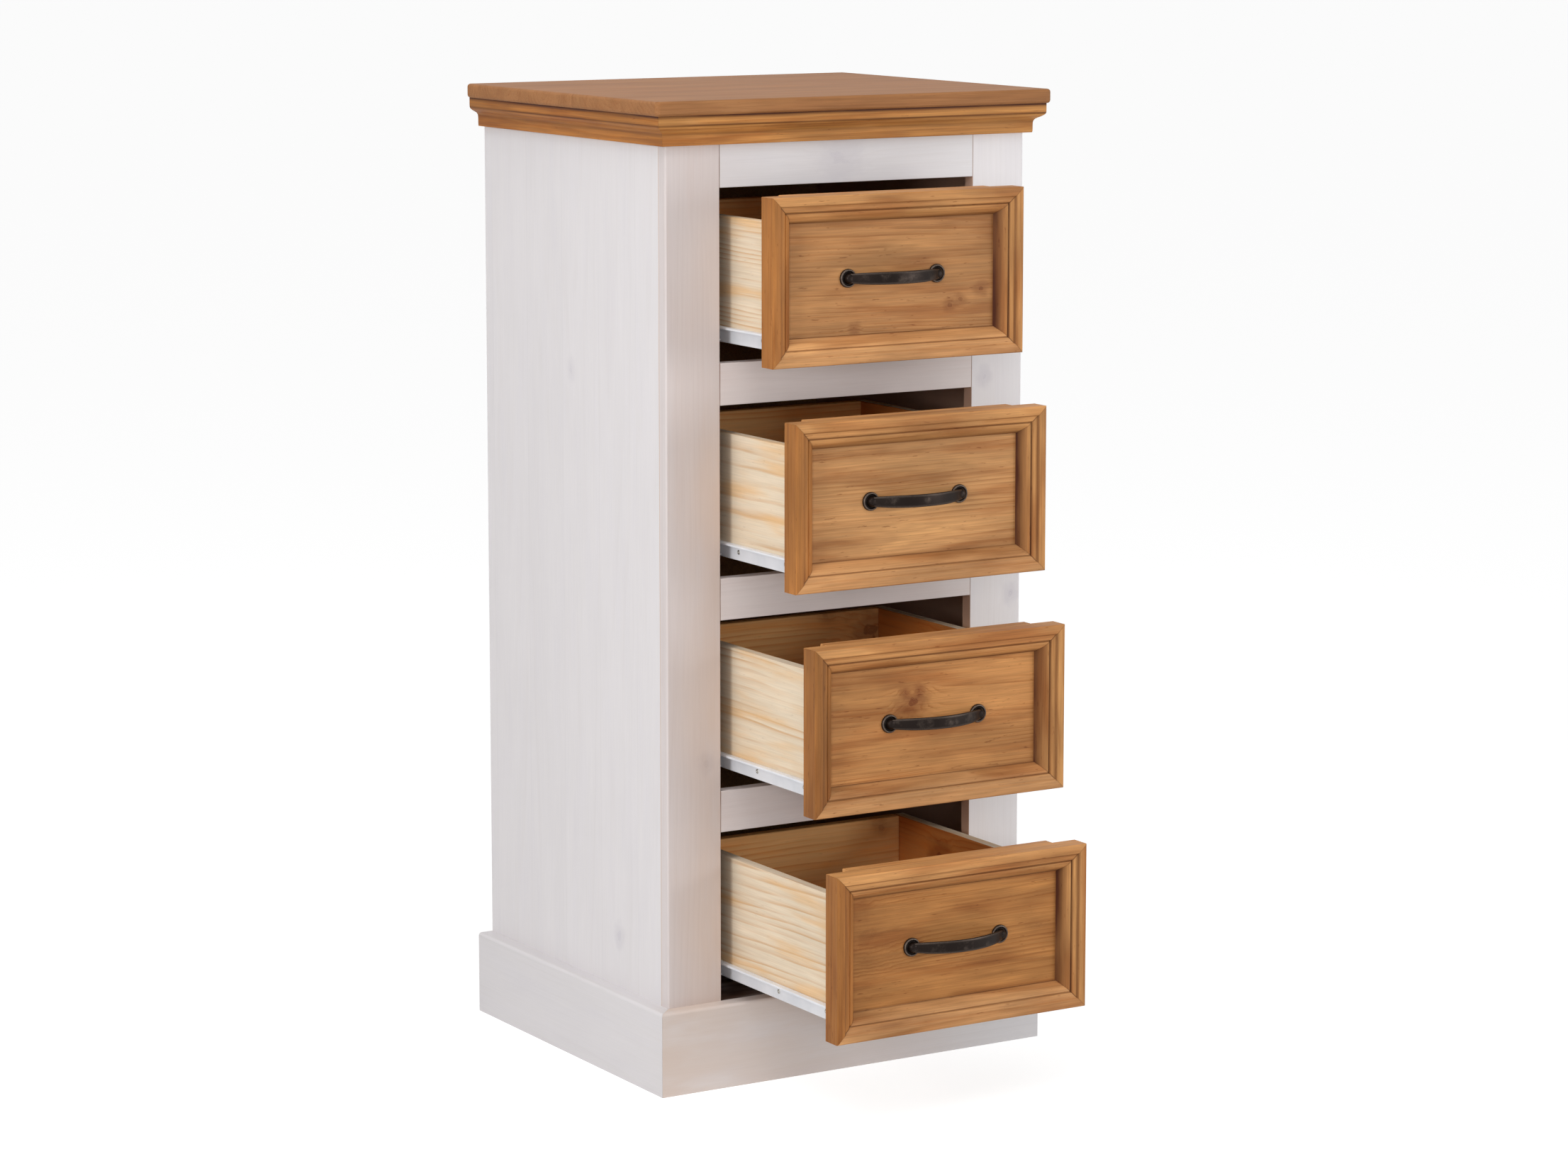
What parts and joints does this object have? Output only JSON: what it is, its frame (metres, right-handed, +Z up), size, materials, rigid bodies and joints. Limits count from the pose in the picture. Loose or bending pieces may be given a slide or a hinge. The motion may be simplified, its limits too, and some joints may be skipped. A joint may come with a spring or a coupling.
{
  "type": "chest of drawers",
  "caption": "Tall narrow chest with framed drawers, bow pulls and roller runners, in a face-framed case with plinth, cornice and top board.",
  "frame": {"origin": "on the floor under the middle of the plinth's front board, halfway through its thickness", "axes": "+Z up, +Y from the drawer fronts towards the back, +X to the right of someone who faces the drawers"},
  "size_m": [0.572, 0.748, 1.226],
  "materials": {
    "honey_pine": "honey-stained pine, satin lacquer",
    "top_pine": "honey-stained pine, satin lacquer",
    "white_pine": "white-glazed pine, satin lacquer",
    "bare_pine": "unstained pine",
    "fibreboard": "thin wood-fibre board",
    "white_steel": "white powder coat",
    "antique_iron": "dark antique finish"
  },
  "bodies": {
    "case": {"top_board": "top_pine", "cornice_front": "honey_pine", "cornice_left": "honey_pine", "side_panel_left": "white_pine", "stile_left": "white_pine", "cornice_right": "honey_pine", "side_panel_right": "white_pine", "stile_right": "white_pine", "rail_top": "white_pine", "bottom_board": "white_pine", "back_panel": "fibreboard", "plinth": "white_pine", "rail_1": "white_pine", "rail_2": "white_pine", "rail_3": "white_pine", "case_runner_1_left": "white_steel", "case_runner_1_right": "white_steel", "case_runner_2_left": "white_steel", "case_runner_2_right": "white_steel", "case_runner_3_left": "white_steel", "case_runner_3_right": "white_steel", "case_runner_4_left": "white_steel", "case_runner_4_right": "white_steel"},
    "drawer_1": {"drawer_1_frame": "honey_pine", "drawer_1_front_board": "honey_pine", "drawer_1_side_left": "bare_pine", "drawer_1_side_right": "bare_pine", "drawer_1_back": "bare_pine", "drawer_1_bottom": "fibreboard", "drawer_1_runner_left": "white_steel", "drawer_1_runner_right": "white_steel", "drawer_1_handle": "antique_iron"},
    "drawer_2": {"drawer_2_frame": "honey_pine", "drawer_2_front_board": "honey_pine", "drawer_2_side_left": "bare_pine", "drawer_2_side_right": "bare_pine", "drawer_2_back": "bare_pine", "drawer_2_bottom": "fibreboard", "drawer_2_runner_left": "white_steel", "drawer_2_runner_right": "white_steel", "drawer_2_handle": "antique_iron"},
    "drawer_3": {"drawer_3_frame": "honey_pine", "drawer_3_front_board": "honey_pine", "drawer_3_side_left": "bare_pine", "drawer_3_side_right": "bare_pine", "drawer_3_back": "bare_pine", "drawer_3_bottom": "fibreboard", "drawer_3_runner_left": "white_steel", "drawer_3_runner_right": "white_steel", "drawer_3_handle": "antique_iron"},
    "drawer_4": {"drawer_4_frame": "honey_pine", "drawer_4_front_board": "honey_pine", "drawer_4_side_left": "bare_pine", "drawer_4_side_right": "bare_pine", "drawer_4_back": "bare_pine", "drawer_4_bottom": "fibreboard", "drawer_4_runner_left": "white_steel", "drawer_4_runner_right": "white_steel", "drawer_4_handle": "antique_iron"}
  },
  "joints": [
    {"name": "drawer_1_slide", "type": "slide", "parent": "case", "child": "drawer_1", "axis": [0, -1, 0], "range_m": [-0.12, 0.16]},
    {"name": "drawer_2_slide", "type": "slide", "parent": "case", "child": "drawer_2", "axis": [0, -1, 0], "range_m": [-0.173, 0.107]},
    {"name": "drawer_3_slide", "type": "slide", "parent": "case", "child": "drawer_3", "axis": [0, -1, 0], "range_m": [-0.217, 0.063]},
    {"name": "drawer_4_slide", "type": "slide", "parent": "case", "child": "drawer_4", "axis": [0, -1, 0], "range_m": [-0.268, 0.012]}
  ]
}
